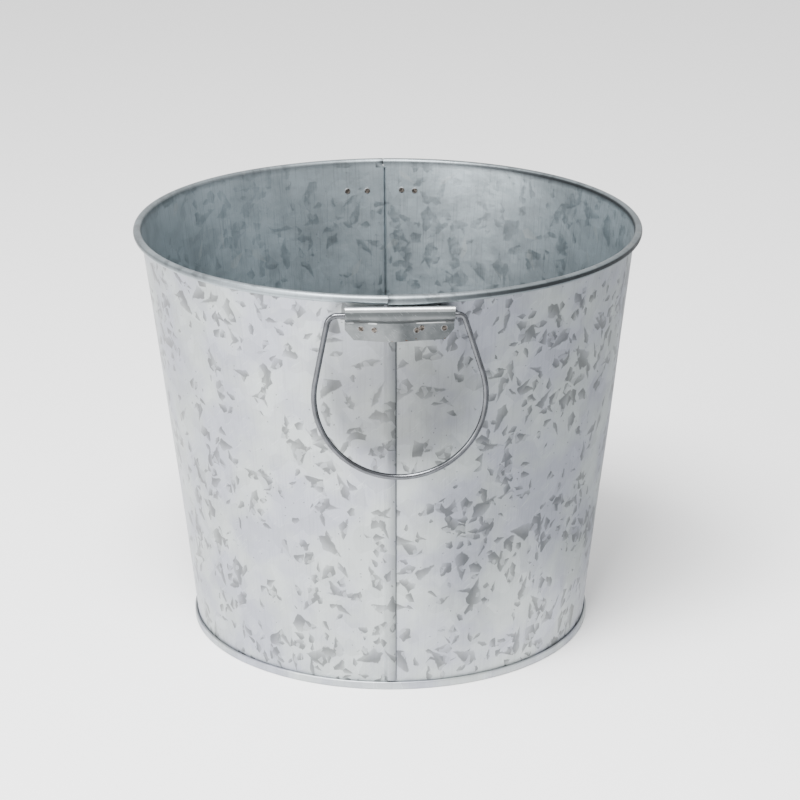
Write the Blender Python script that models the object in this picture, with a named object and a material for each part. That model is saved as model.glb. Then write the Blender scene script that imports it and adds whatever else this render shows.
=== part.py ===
"""Florist bucket: a galvanised sheet pail with two wire drop handles.

The origin is the centre of the standing ring and +Z is up. The front handle hangs on -Y and
the back handle on +Y. The body is two half sheets hooked together by two lock seams. The top
edge is rolled round a wire, and the bottom pan is held by a double seam. Each handle turns in
a folded sheet hanger whose plate is spot welded to the wall.

Angles round the pail start at -Y and grow towards +X. All lengths are in metres.
"""

import math

import bmesh
import bpy
import numpy as np
from mathutils import Vector

# Overall size
HEIGHT = 0.233                 # top of the rolled rim above the standing ring
RIM_RADIUS = 0.140             # outside of the rolled rim
BASE_RADIUS = 0.1139           # outside of the bottom seam

# Sheet and fits
SHEET = 0.0004                 # thickness of the body and base sheet
LAP_GAP = 0.00015              # play between the folded layers of a seam
FIT_GAP = 0.0003               # play between separate pieces
SLIT = 0.0003                  # cut that frees a seam's folds from the rim roll and the bottom hook

# Rolled rim
RIM_WIRE = 0.003               # diameter of the wire in the roll
RIM_WIRE_ENDS = 0.0012         # opening between the two ends of that wire
CURL_SWEEP = math.radians(305)
CURL_STEPS = 10

# Bottom seam and pan
BAND_HEIGHT = 0.0044           # height of the folded band
FLOOR_HEIGHT = 0.0052          # top of the pan's floor above the standing ring
PAN_BEND = 0.0012              # bend from the floor to the pan's wall
STAND_BEND = 0.0006            # bends on each side of the standing ring's flat
UPRIGHT_ABOVE_BAND = 0.0008    # short upright stretch of wall above the band

# Lock seams
SEAM_WIDTH = 0.0048
JOGGLE = 0.0015                # length over which the outer layer steps out
FRONT_SEAM_X = -0.0042         # where each seam's middle meets the rim, from the handle's middle
BACK_SEAM_X = -0.00115

# Handle hangers
HANGER_WIDTH = 0.0562
HANGER_SHEET = 0.0005
HANGER_LAP = 0.00025           # play between the plate's two layers
HANGER_BELOW_RIM = 0.0008      # opening between the rim roll and the hanger's loop
LOOP_PLAY = 0.0008             # loop's inside beyond the wire's diameter
LOOP_TAIL = 0.005              # hinge line down to the crease where the layers meet
LOOP_STRAIGHT_TAIL = 0.0007    # hinge line down to where the loop starts to bend to the wall
PLATE_BLEND = 0.0024           # crease down to where the plate follows the wall
PLATE_HEIGHT = 0.0103          # crease down to the bottom edge
CORNER_WIDTH = 0.0046          # cut-off lower corners
CORNER_HEIGHT = 0.0055
SEAM_BRIDGE_RAMP = 0.003       # run over which the plate climbs over the seam
SEAM_BRIDGE_LEAD = 0.0009      # flat part of that bridge ahead of the seam band
SEAM_BRIDGE_TAIL = 0.0003      # and past it

# Handles
HANDLE_WIRE = 0.003            # diameter
HANDLE_WIDTH = 0.0888          # widest, between wire centres
HANDLE_DROP = 0.0885           # hinge line down to the wire's centre at the bottom
AXIS_BELOW_LOOP = 0.0048       # hinge line below the top of the loop
SHOULDER_LEFT = 0.0084         # hanger's end to where the wire turns down, left and right
SHOULDER_RIGHT = 0.0044
SHOULDER_BEND_LEFT = 0.0055
SHOULDER_BEND_RIGHT = 0.0036
HANDLE_END_GAP = 0.004         # between the wire's two ends inside the hanger

# Faceting
QUARTER_FACETS = 15
HANGER_PITCH = 0.0075          # widest facet across a hanger
WIRE_RESOLUTION = 2
HANDLE_ARC_STEPS = 22
BEND_STEPS = 3

# Places that follow from the sizes
WALL_START = BAND_HEIGHT + UPRIGHT_ABOVE_BAND
PITCH = SHEET + LAP_GAP                                   # one layer to the next in a seam
SEAM_PROUD = 3 * PITCH                                    # height of the lock seam on the wall
FOOT_MID = BASE_RADIUS - SHEET / 2 - 3 * PITCH            # wall's middle at the bottom
FOOT_Z = 2 * PITCH + SHEET / 2                            # centre of the bottom bends
BAND_TOP_Z = BAND_HEIGHT - SHEET / 2 - PITCH              # centre of the band's top bend
CURL_MID = RIM_WIRE / 2 + FIT_GAP + SHEET / 2             # rim roll, to the sheet's middle
BEAD = CURL_MID + SHEET / 2                               # rim roll, outside
BEAD_R = RIM_RADIUS - BEAD
BEAD_Z = HEIGHT - BEAD
SEAM_LOW = WALL_START + SLIT
SEAM_HIGH = BEAD_Z - BEAD - SLIT
FOLD_START = PITCH + SHEET / 2                            # centre of a seam's inner fold
FOLD_END = SEAM_WIDTH - PITCH - SHEET / 2                 # centre of its outer fold
LOOP_TOP_Z = BEAD_Z - BEAD - HANGER_BELOW_RIM
AXIS_Z = LOOP_TOP_Z - AXIS_BELOW_LOOP
LOOP_DEPTH = HANDLE_WIRE + LOOP_PLAY + HANGER_SHEET       # between the middles of its layers
LOOP_HEIGHT = AXIS_BELOW_LOOP + LOOP_TAIL
PLATE_START = LOOP_HEIGHT + PLATE_BLEND
HANGER_HEIGHT = LOOP_HEIGHT + PLATE_HEIGHT


def tangent_angle():
    """Direction of the wall's section, from the foot to its tangent on the rim roll."""
    run = BEAD_R - FOOT_MID
    rise = BEAD_Z - WALL_START
    return math.atan2(rise, run) + math.asin(CURL_MID / math.hypot(run, rise))


WALL_ANGLE = tangent_angle()
WALL_TOP_R = BEAD_R - CURL_MID * math.sin(WALL_ANGLE)
WALL_TOP_Z = BEAD_Z + CURL_MID * math.cos(WALL_ANGLE)
CURL_START = WALL_ANGLE + math.pi / 2


def wall_mid(z):
    """Radius of the middle of the wall's sheet at a height."""
    share = (z - WALL_START) / (WALL_TOP_Z - WALL_START)
    return FOOT_MID + min(max(share, 0.0), 1.0) * (WALL_TOP_R - FOOT_MID)


def wall_outside(z):
    return wall_mid(z) + SHEET / 2


FRONT_SEAM = FRONT_SEAM_X / WALL_TOP_R
BACK_SEAM = math.pi - BACK_SEAM_X / WALL_TOP_R
BRIDGE_BASE = FIT_GAP + HANGER_SHEET / 2                  # plate's back layer on the wall
LOOP_BACK = BRIDGE_BASE + SEAM_PROUD                      # loop's back layer, clear of the seam
AXIS_OUT = LOOP_BACK + HANGER_SHEET / 2 + FIT_GAP + HANDLE_WIRE / 2
AXIS_Y = wall_outside(AXIS_Z) + AXIS_OUT


def around(r, angle, z):
    return (r * math.sin(angle), -r * math.cos(angle), z)


def arc(centre, radius, start, end, steps):
    """Points on an arc, both ends included."""
    angles = [start + (end - start) * k / steps for k in range(steps + 1)]
    return [(centre[0] + radius * math.cos(a), centre[1] + radius * math.sin(a)) for a in angles]


# Materials and objects

def metal(name, colour, roughness):
    material = bpy.data.materials.new(name)
    material.use_nodes = True
    shader = material.node_tree.nodes["Principled BSDF"]
    shader.inputs["Base Color"].default_value = (*colour, 1.0)
    shader.inputs["Metallic"].default_value = 1.0
    shader.inputs["Roughness"].default_value = roughness
    return material


def add_object(name, data, material):
    data.materials.append(material)
    thing = bpy.data.objects.new(name, data)
    bpy.context.scene.collection.objects.link(thing)
    return thing


def add_solid(name, vertices, faces, material):
    """A closed mesh object with its faces turned outwards."""
    bm = bmesh.new()
    corners = [bm.verts.new(v) for v in vertices]
    for face in faces:
        bm.faces.new([corners[k] for k in face])
    bmesh.ops.recalc_face_normals(bm, faces=bm.faces)
    mesh = bpy.data.meshes.new(name)
    bm.to_mesh(mesh)
    bm.free()
    mesh.shade_smooth()
    mesh.set_sharp_from_angle(angle=math.radians(35))
    return add_object(name, mesh, material)


def add_wire(name, points, diameter, material, origin=(0.0, 0.0, 0.0)):
    """A round wire along points, with closed ends."""
    curve = bpy.data.curves.new(name, "CURVE")
    curve.dimensions = "3D"
    curve.bevel_depth = diameter / 2
    curve.bevel_resolution = WIRE_RESOLUTION
    curve.use_fill_caps = True
    spline = curve.splines.new("POLY")
    spline.points.add(len(points) - 1)
    for place, point in zip(spline.points, points):
        place.co = (*(Vector(point) - Vector(origin)), 1.0)
    wire = add_object(name, curve, material)
    wire.location = origin
    return wire


# Sheet solids

def cell_normal(grid, i, j):
    normal = np.cross(grid[i + 1, j + 1] - grid[i, j], grid[i + 1, j] - grid[i, j + 1])
    return normal / np.linalg.norm(normal)


def grid_offsets(grid, cells):
    """Unit-thickness offset of each grid point, mitred where cells meet at an angle."""
    touching = {}
    for i, j in cells:
        normal = cell_normal(grid, i, j)
        for corner in ((i, j), (i + 1, j), (i, j + 1), (i + 1, j + 1)):
            touching.setdefault(corner, []).append(normal)
    offsets = {}
    for corner, normals in touching.items():
        mean = np.sum(normals, axis=0)
        mean /= np.linalg.norm(mean)
        offsets[corner] = mean / np.mean([mean @ n for n in normals])
    return offsets


def add_sheet(name, grid, cells, thickness, material):
    """A bent sheet: the cells of a grid of mid-surface points, given a thickness."""
    offsets = grid_offsets(grid, cells)
    index = {corner: k for k, corner in enumerate(sorted(offsets))}
    half = thickness / 2
    front = [tuple(grid[c] + offsets[c] * half) for c in sorted(offsets)]
    back = [tuple(grid[c] - offsets[c] * half) for c in sorted(offsets)]
    shift = len(front)
    faces = []
    edges = {}
    for i, j in cells:
        loop = [index[c] for c in ((i, j), (i + 1, j), (i + 1, j + 1), (i, j + 1))]
        faces.append(loop)
        faces.append([k + shift for k in reversed(loop)])
        for a, b in zip(loop, loop[1:] + loop[:1]):
            edges[(a, b)] = True
    for a, b in edges:
        if (b, a) not in edges:
            faces.append([b, a, a + shift, b + shift])
    return add_solid(name, front + back, faces, material)


# Body halves

def half_profile():
    """Section of a body half, from the bottom hook's tip up the wall and round the rim roll.

    Returns the points and the number of the row at each end of the lock seam's folds.
    """
    foot = (FOOT_MID + PITCH, FOOT_Z)
    rows = [(FOOT_MID + 2 * PITCH, BAND_TOP_Z)]
    rows += arc(foot, PITCH, 0.0, -math.pi, BEND_STEPS)
    rows.append((FOOT_MID, WALL_START - SLIT))
    for z in (SEAM_LOW - SLIT, SEAM_LOW, SEAM_HIGH, SEAM_HIGH + SLIT):
        rows.append((wall_mid(z), z))
    low = len(rows) - 3
    rows += arc((BEAD_R, BEAD_Z), CURL_MID, CURL_START, CURL_START - CURL_SWEEP, CURL_STEPS)
    return rows, low, low + 1


def inner_hook():
    """The edge that lies flush inside: (place along the band, height off the wall) pairs."""
    tip = [(FOLD_END, 2 * PITCH)]
    fold = arc((FOLD_START, PITCH), PITCH, math.pi / 2, 3 * math.pi / 2, BEND_STEPS)
    return tip + fold


def outer_hook():
    """The edge that steps out over the other half's hook and folds back inside it."""
    step = [(FOLD_START - SHEET / 2 - LAP_GAP - LAP_GAP, SEAM_PROUD)]
    fold = arc((FOLD_END, 2 * PITCH), PITCH, math.pi / 2, -math.pi / 2, BEND_STEPS)
    return step + fold + [(FOLD_START, PITCH)]


def main_angles(seam, next_seam, radius):
    """Angles of the columns between a half's two seams, with one on each side axis."""
    start = seam + SEAM_WIDTH / 2 / radius
    end = next_seam - (SEAM_WIDTH / 2 + JOGGLE) / radius
    side = math.pi / 2 if next_seam < 1.5 * math.pi else 1.5 * math.pi
    first = [start + (side - start) * k / QUARTER_FACETS for k in range(QUARTER_FACETS)]
    second = [side + (end - side) * k / QUARTER_FACETS for k in range(QUARTER_FACETS + 1)]
    return first + second


def add_body_half(name, seam, next_seam, material):
    """One half sheet, from its inner hook at one seam to its outer hook at the next."""
    rows, low, high = half_profile()
    inner = inner_hook()
    outer = outer_hook()
    mains = 2 * QUARTER_FACETS + 1
    first_full = len(inner) - 1
    last_full = first_full + mains
    columns = len(inner) + mains + len(outer)
    butt = FOLD_START - FIT_GAP
    grid = np.zeros((columns, len(rows), 3))
    for j, (r, z) in enumerate(rows):
        radius = wall_mid(z) if r < wall_mid(z) + PITCH or z > SEAM_LOW else FOOT_MID
        band = seam - SEAM_WIDTH / 2 / radius
        next_band = next_seam - SEAM_WIDTH / 2 / radius
        for i, (place, out) in enumerate(inner):
            height = out if low <= j <= high else 0.0
            grid[i, j] = around(r + height, band + place / radius, z)
        for i, angle in enumerate(main_angles(seam, next_seam, radius)):
            grid[len(inner) + i, j] = around(r, angle, z)
        for i, (place, out) in enumerate(outer):
            if low <= j <= high:
                grid[len(inner) + mains + i, j] = around(r + out, next_band + place / radius, z)
            else:
                grid[len(inner) + mains + i, j] = around(r, next_band + butt / radius, z)
    cells = []
    for i in range(columns - 1):
        for j in range(len(rows) - 1):
            folded = i < first_full or i > last_full
            stepping = i == last_full
            in_seam = low <= j < high
            cut = j in (low - 1, high)
            if (folded and in_seam) or (stepping and not cut) or not (folded or stepping):
                cells.append((i, j))
    return add_sheet(name, grid, cells, SHEET, material)


# Base and rim wire

def ring_angles(radius):
    """Angles of every main column of both halves, once round."""
    return (main_angles(FRONT_SEAM, BACK_SEAM, radius)
            + main_angles(BACK_SEAM, FRONT_SEAM + 2 * math.pi, radius))


def sheet_outline(path, thickness):
    """Both sides of a sheet's section, out along one and back along the other."""
    points = [Vector(p) for p in path]
    runs = [(b - a).normalized() for a, b in zip(points, points[1:])]
    sides = []
    for k, point in enumerate(points):
        before = runs[max(k - 1, 0)]
        after = runs[min(k, len(runs) - 1)]
        normal = Vector((-(before.y + after.y), before.x + after.x)).normalized()
        reach = thickness / 2 / normal.dot(Vector((-after.y, after.x)))
        sides.append((point + normal * reach, point - normal * reach))
    return [s[0] for s in sides] + [s[1] for s in reversed(sides)]


def base_path():
    """Middle of the pan's sheet: floor, wall, standing ring and the hook over the body's."""
    inside = FOOT_MID - PITCH
    outside = FOOT_MID + 3 * PITCH
    floor = FLOOR_HEIGHT - SHEET / 2
    ground = SHEET / 2
    bend = STAND_BEND
    path = [(0.0, floor)]
    path += arc((inside - PAN_BEND, floor - PAN_BEND), PAN_BEND, math.pi / 2, 0.0, 2)
    path += arc((inside + bend, ground + bend), bend, math.pi, 1.5 * math.pi, 2)
    path += arc((outside - bend, ground + bend), bend, 1.5 * math.pi, 2 * math.pi, 2)
    path += arc((FOOT_MID + 2 * PITCH, BAND_TOP_Z), PITCH, 0.0, math.pi, BEND_STEPS)
    path.append((FOOT_MID + PITCH, FOOT_Z))
    return path


def add_base(material):
    outline = sheet_outline(base_path(), SHEET)
    angles = ring_angles(FOOT_MID)
    count = len(angles)
    vertices = [(0.0, 0.0, outline[0].y)]
    for point in outline[1:-1]:
        vertices += [around(point.x, angle, point.y) for angle in angles]
    vertices.append((0.0, 0.0, outline[-1].y))
    faces = []
    for k in range(count):
        n = (k + 1) % count
        faces.append([0, 1 + k, 1 + n])
        for row in range(len(outline) - 3):
            a = 1 + row * count
            b = a + count
            faces.append([a + k, b + k, b + n, a + n])
        last = 1 + (len(outline) - 3) * count
        faces.append([last + k, len(vertices) - 1, last + n])
    return add_solid("base", vertices, faces, material)


def add_rim_wire(material):
    """The wire in the rim roll. Its ends face each other at the back seam."""
    angles = ring_angles(WALL_TOP_R)
    half = len(angles) // 2
    back = angles[half:]
    front = [a + 2 * math.pi for a in angles[:half]]
    middle = BACK_SEAM + RIM_WIRE_ENDS / 2 / BEAD_R
    last = BACK_SEAM + 2 * math.pi - RIM_WIRE_ENDS / 2 / BEAD_R
    points = [around(BEAD_R, a, BEAD_Z) for a in [middle] + back + front + [last]]
    return add_wire("rim_wire", points, RIM_WIRE, material)


# Hangers

def loop_path():
    """Section of the hanger's strip: (depth from its back layer, distance below its top)."""
    lap = HANGER_SHEET + HANGER_LAP
    radius = LOOP_DEPTH / 2
    top = radius + HANGER_SHEET / 2
    plate = [PLATE_START, HANGER_HEIGHT - CORNER_HEIGHT, HANGER_HEIGHT]
    back = [(0.0, d) for d in reversed(plate)]
    back += [(0.0, LOOP_HEIGHT), (0.0, 0.5 * (LOOP_HEIGHT + AXIS_BELOW_LOOP))]
    over = [(x, 2 * top - y) for x, y in arc((radius, top), radius, math.pi, 0.0, 4)]
    belly = []
    for share in (0.36, 0.72):
        ease = 1 - share ** 2.2
        depth = lap + (LOOP_DEPTH - lap) * ease
        belly.append((depth, AXIS_BELOW_LOOP + (LOOP_HEIGHT - AXIS_BELOW_LOOP) * share))
    front = [(LOOP_DEPTH, AXIS_BELOW_LOOP)] + belly + [(lap, LOOP_HEIGHT)]
    return back + over + front + [(lap, d) for d in plate]


def seam_bridge(x, seam_x):
    """How far the plate climbs off the wall, so that it passes over the lock seam."""
    low = seam_x - SEAM_WIDTH / 2 - SEAM_BRIDGE_LEAD
    high = seam_x + SEAM_WIDTH / 2 + SEAM_BRIDGE_TAIL
    outside = max(low - x, x - high, 0.0)
    return SEAM_PROUD * max(0.0, 1 - outside / SEAM_BRIDGE_RAMP)


def hanger_columns(seam_x):
    """Places across the hanger, with one at each end of the bridge's ramps."""
    low = seam_x - SEAM_WIDTH / 2 - SEAM_BRIDGE_LEAD
    high = seam_x + SEAM_WIDTH / 2 + SEAM_BRIDGE_TAIL
    edge = HANGER_WIDTH / 2 - CORNER_WIDTH
    stops = [-edge, low - SEAM_BRIDGE_RAMP, low, high, high + SEAM_BRIDGE_RAMP, edge]
    places = [-HANGER_WIDTH / 2]
    for a, b in zip(stops, stops[1:]):
        parts = math.ceil((b - a) / HANGER_PITCH)
        places += [a + (b - a) * k / parts for k in range(parts)]
    return places + [edge, HANGER_WIDTH / 2]


def smooth_step(value, low, high):
    share = min(max((value - low) / (high - low), 0.0), 1.0)
    return share * share * (3 - 2 * share)


def add_hanger(name, seam_x, turn, material):
    """A strip folded round the handle's wire, both layers following the wall below the loop."""
    places = hanger_columns(seam_x)
    path = loop_path()
    grid = np.zeros((len(places), len(path), 3))
    for i, place in enumerate(places):
        for j, (depth, below) in enumerate(path):
            z = LOOP_TOP_Z - below
            cut = CORNER_WIDTH * max(0.0, below - HANGER_HEIGHT + CORNER_HEIGHT) / CORNER_HEIGHT
            reach = HANGER_WIDTH / 2 - cut
            x = min(max(place, -reach), reach)
            wall = wall_outside(z)
            straight = wall + LOOP_BACK
            bent = math.sqrt(wall * wall - x * x) + BRIDGE_BASE + seam_bridge(x, seam_x)
            blend = smooth_step(below, AXIS_BELOW_LOOP + LOOP_STRAIGHT_TAIL, PLATE_START)
            y = straight + (bent - straight) * blend + depth
            grid[i, j] = (turn * x, -turn * y, z)
    cells = [(i, j) for i in range(len(places) - 1) for j in range(len(path) - 1)]
    return add_sheet(name, grid, cells, HANGER_SHEET, material)


# Handles

def corner_arc(corner, before, after, radius):
    """Points that round a corner between two directions."""
    turn = before.angle(after)
    setback = radius * math.tan(turn / 2)
    start = corner - before * setback
    centre = start + radius * (after - before * before.dot(after)).normalized()
    first = start - centre
    second = corner + after * setback - centre
    return [centre + radius * first.slerp(second, k / BEND_STEPS) for k in range(BEND_STEPS + 1)]


def tangent_point(point, centre, radius, side):
    """Where a line from point touches the circle, on the side towards -X or +X."""
    to_centre = centre - point
    angle = math.atan2(to_centre.y, to_centre.x)
    swing = math.asin(radius / to_centre.length) * side
    length = math.sqrt(to_centre.length ** 2 - radius ** 2)
    return point + length * Vector((math.cos(angle + swing), math.sin(angle + swing)))


def handle_outline():
    """Centre line of the handle's wire: (across, up from the hinge line) points."""
    radius = HANDLE_WIDTH / 2
    centre = Vector((0.0, radius - HANDLE_DROP))
    halves = []
    for side, shoulder, bend in ((-1, SHOULDER_LEFT, SHOULDER_BEND_LEFT),
                                 (1, SHOULDER_RIGHT, SHOULDER_BEND_RIGHT)):
        corner = Vector((side * (HANGER_WIDTH / 2 + shoulder), 0.0))
        touch = tangent_point(corner, centre, radius, side)
        across = Vector((side, 0.0))
        leg = (touch - corner).normalized()
        points = [Vector((side * HANDLE_END_GAP / 2, 0.0))]
        points += corner_arc(corner, across, leg, bend)
        halves.append(points + [touch])
    left, right = halves
    start = math.atan2(left[-1].y - centre.y, left[-1].x - centre.x) % (2 * math.pi)
    end = math.atan2(right[-1].y - centre.y, right[-1].x - centre.x) % (2 * math.pi)
    end += 2 * math.pi if end < start else 0.0
    bottom = arc(centre, radius, start, end, HANDLE_ARC_STEPS)
    return left[:-1] + [Vector(p) for p in bottom] + list(reversed(right[:-1]))


def add_handle(name, turn, material):
    """A wire handle that hangs straight down, its origin on its hinge line."""
    origin = (0.0, -turn * AXIS_Y, AXIS_Z)
    points = [(turn * p.x, -turn * AXIS_Y, AXIS_Z + p.y) for p in handle_outline()]
    return add_wire(name, points, HANDLE_WIRE, material, origin)


def build():
    for thing in list(bpy.data.objects):
        bpy.data.objects.remove(thing)
    wall_zinc = metal("galvanised wall", (0.55, 0.57, 0.58), 0.42)
    base_zinc = metal("galvanised base", (0.48, 0.50, 0.51), 0.45)
    hanger_zinc = metal("galvanised hanger", (0.52, 0.53, 0.54), 0.38)
    wire_zinc = metal("galvanised wire", (0.50, 0.50, 0.51), 0.32)
    add_body_half("body_right", FRONT_SEAM, BACK_SEAM, wall_zinc)
    add_body_half("body_left", BACK_SEAM, FRONT_SEAM + 2 * math.pi, wall_zinc)
    add_base(base_zinc)
    add_rim_wire(wire_zinc)
    add_hanger("front_hanger", FRONT_SEAM_X, 1, hanger_zinc)
    add_hanger("back_hanger", -BACK_SEAM_X, -1, hanger_zinc)
    add_handle("front_handle", 1, wire_zinc)
    add_handle("back_handle", -1, wire_zinc)


build()
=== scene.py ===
"""Looks of the florist bucket: a galvanised sheet pail with two wire drop handles.

The origin is the centre of the standing ring and +Z is up. Angles round the pail start at -Y
and grow towards +X. Lengths are in metres.
"""

import math
from functools import partial
from types import SimpleNamespace

import bmesh
import bpy
import numpy as np
from bpy.props import FloatProperty, FloatVectorProperty, IntProperty, PointerProperty
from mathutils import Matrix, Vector


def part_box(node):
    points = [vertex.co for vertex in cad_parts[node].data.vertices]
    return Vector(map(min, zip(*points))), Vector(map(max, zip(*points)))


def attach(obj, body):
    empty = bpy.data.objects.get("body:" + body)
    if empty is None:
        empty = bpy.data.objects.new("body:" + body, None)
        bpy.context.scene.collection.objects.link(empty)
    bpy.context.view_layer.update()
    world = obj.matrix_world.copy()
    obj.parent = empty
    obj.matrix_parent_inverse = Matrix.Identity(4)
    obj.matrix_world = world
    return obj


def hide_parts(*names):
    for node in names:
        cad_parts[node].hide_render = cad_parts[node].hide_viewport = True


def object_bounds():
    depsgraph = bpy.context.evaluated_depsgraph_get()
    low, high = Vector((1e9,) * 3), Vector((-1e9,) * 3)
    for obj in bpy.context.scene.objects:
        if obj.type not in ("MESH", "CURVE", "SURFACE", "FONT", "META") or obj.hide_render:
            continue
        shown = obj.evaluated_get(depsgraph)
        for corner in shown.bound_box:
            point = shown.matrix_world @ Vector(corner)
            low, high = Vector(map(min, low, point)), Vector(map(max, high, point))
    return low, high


bl_info = {
    "name": "Florist bucket",
    "version": (1, 0, 0),
    "blender": (4, 5, 0),
    "location": "3D View > Sidebar > Bucket",
    "description": "Builds a galvanised bucket with rolled rim, lock seams and wire handles",
    "category": "Add Mesh",
}

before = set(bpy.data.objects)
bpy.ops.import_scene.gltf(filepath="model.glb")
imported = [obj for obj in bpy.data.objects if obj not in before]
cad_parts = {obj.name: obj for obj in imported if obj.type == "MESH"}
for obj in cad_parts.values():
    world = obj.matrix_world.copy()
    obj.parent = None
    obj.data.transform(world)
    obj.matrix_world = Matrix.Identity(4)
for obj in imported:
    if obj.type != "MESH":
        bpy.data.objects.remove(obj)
CAD_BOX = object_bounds()

BASE_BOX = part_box("base")


def linear(code):
    """Linear colour from an sRGB hex code."""
    shares = [int(code[k:k + 2], 16) / 255 for k in (1, 3, 5)]
    return [s / 12.92 if s <= 0.04045 else ((s + 0.055) / 1.055) ** 2.4 for s in shares]


def per_metre(size):
    """How often a pattern of a size in millimetres repeats in a metre."""
    return 1000.0 / size


# Sizes and colours that a user would change


def length(name, description, default):
    """A length setting."""
    return FloatProperty(name=name, description=description, default=default, min=0.0,
                         precision=5, unit="LENGTH")


def tint(name, description, code):
    """A colour setting."""
    return FloatVectorProperty(name=name, description=description, default=linear(code),
                               min=0.0, max=1.0, subtype="COLOR")


class PailSizes(bpy.types.PropertyGroup):
    height: length("Height", "Top of the rolled rim above the floor", 0.233)
    rim_radius: length("Rim radius", "Outside of the rolled rim", 0.140)
    base_radius: length("Base radius", "Outside of the bottom seam", BASE_BOX[1].x)
    sheet: length("Sheet", "Thickness of the body's sheet", 0.0004)
    rim_wire: length("Rim wire", "Diameter of the wire in the rim", 0.003)
    roll_step: length("Roll step", "How much fatter the rim roll starts in front", 0.00055)
    seam_width: length("Seam width", "Width of the two lock seams", 0.0048)
    floor_height: length("Floor height", "Top of the bottom pan above the floor", BASE_BOX[1].z)
    ripple: length("Ripple", "Height of the sheet's slow ripples", 0.00016)
    out_of_round: length("Out of round", "How far the rim swells on the left side", 0.0026)
    quarter_facets: IntProperty(name="Facets", description="Columns in a quarter turn",
                                default=84, min=15, max=120)


class HangerSizes(bpy.types.PropertyGroup):
    width: length("Width", "Length of the folded strip along the wall", 0.0562)
    sheet: length("Sheet", "Thickness of the strip", 0.0005)
    corner_width: length("Corner width", "Width of the cut-off lower corners", 0.0046)
    corner_height: length("Corner height", "Height of the cut-off lower corners", 0.0055)
    weld_radius: length("Weld radius", "Radius of a spot weld's mark", 0.0019)


class HandleSizes(bpy.types.PropertyGroup):
    wire: length("Wire", "Diameter of the handle's wire", 0.003)
    width: length("Width", "Widest place, between wire centres", 0.0888)
    drop: length("Drop", "Hinge line down to the lowest wire centre", 0.0885)
    facets: IntProperty(name="Facets", description="Facets round the wire", default=20, min=8,
                        max=48)


class FinishColours(bpy.types.PropertyGroup):
    zinc: tint("Zinc", "Pale ground of the zinc coat", "#B0B5B5")
    zinc_cloud: tint("Zinc cloud", "Lilac clouds in the zinc coat", "#A2A5AE")
    flake: tint("Flake", "Dark crystals in the zinc coat", "#4B4C4C")
    inside: tint("Inside", "Zinc inside the pail", "#A9B3B8")
    hanger: tint("Hanger", "Rubbed zinc of the hangers", "#6A6D6E")
    wire: tint("Wire", "Drawn and dipped wire", "#3C3D3D")
    rust: tint("Rust", "Rust specks", "#5E4C3F")
    floor: tint("Floor", "Studio floor", "#FAFAFA")


class StageSizes(bpy.types.PropertyGroup):
    lens: FloatProperty(name="Lens", description="Focal length", default=122.2, min=10.0,
                        unit="CAMERA")
    top_power: FloatProperty(name="Top light", description="Power of the overhead softbox",
                             default=92.0, min=0.0, unit="POWER")
    left_power: FloatProperty(name="Left light", description="Power of the low left softbox",
                              default=36.0, min=0.0, unit="POWER")
    sky: FloatProperty(name="Sky", description="Strength of the even surrounding light",
                       default=1.15, min=0.0)


# Places that follow from the sizes

LAP_GAP = 0.00015              # play between folded layers
FIT_GAP = 0.0003               # play between separate pieces
SLIT = 0.0003                  # cut that frees a seam from the rim roll and the bottom hook
BAND_HEIGHT = 0.0044           # folded band round the foot
WALL_START = BAND_HEIGHT + 0.0008
CURL_SWEEP = math.radians(305)
JOGGLE = 0.0015                # length over which a seam's outer layer steps out
FRONT_SEAM_X = -0.0042
BACK_SEAM_X = -0.00115
SEAM_STOPS = (0.0003, 0.0006, 0.0010, 0.0017)    # extra columns beside a seam's slit
STEP_REACH = 1.12              # how far down the fat start reaches, as a share of its step
STEP_FADE = 0.070              # run over which the fat start of the rim roll thins out
HANGER_LAP = 0.00025
LOOP_BELOW_RIM = 0.0008
LOOP_PLAY = 0.0008
AXIS_BELOW_LOOP = 0.0048
LOOP_TAIL = 0.005
PLATE_BLEND = 0.0024
PLATE_HEIGHT = 0.0103
BRIDGE_RAMP = 0.014            # the hanger's plate climbs over the seam within this run
BRIDGE_LEAD = 0.0009
BRIDGE_TAIL = 0.0003
SHOULDERS = ((-1, 0.0084, 0.0055), (1, 0.0044, 0.0036))
HANDLE_END_GAP = 0.004
RIM_WIRE_GAP = 0.0012
PLATE_LEAD = 0.0007            # from the wire's axis down to where the plate starts to bend
THIN_EDGE = 0.00008            # least width left to the columns of a cut-off corner
SLOPE_RUN = 0.0004             # run over which the plate's slope under a weld is measured
# Spot welds: across the hanger and height above the floor
PLATE_WELDS = ((-0.0198, 0.2142), (-0.0131, 0.2141), (0.0088, 0.2136), (0.0113, 0.2147),
               (0.0230, 0.2140))
INSIDE_WELDS = ((-0.0196, 0.2140), (-0.0118, 0.2142), (0.0090, 0.2139), (0.0209, 0.2141))

# The kinds of node that the finishes use, and the tones that they share

MATH, VECTOR, MIX = "ShaderNodeMath", "ShaderNodeVectorMath", "ShaderNodeMix"
RANGE, NOISE, CELLS = "ShaderNodeMapRange", "ShaderNodeTexNoise", "ShaderNodeTexVoronoi"
SPLIT, CHANCES = "ShaderNodeSeparateXYZ", "ShaderNodeSeparateColor"
TURN, BUMP, ATTRIBUTE = "ShaderNodeVectorRotate", "ShaderNodeBump", "ShaderNodeAttribute"
# Bare zinc of the scratches, also the painted highlight before a seam; the painted shade of the
# seams' slits and the rim roll; the grey of the reflection card.
BARE_ZINC_AND_HIGHLIGHT, PAINTED_SHADE, CARD = "#DDE2E2", "#36393B", "#A9ABAD"
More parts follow.
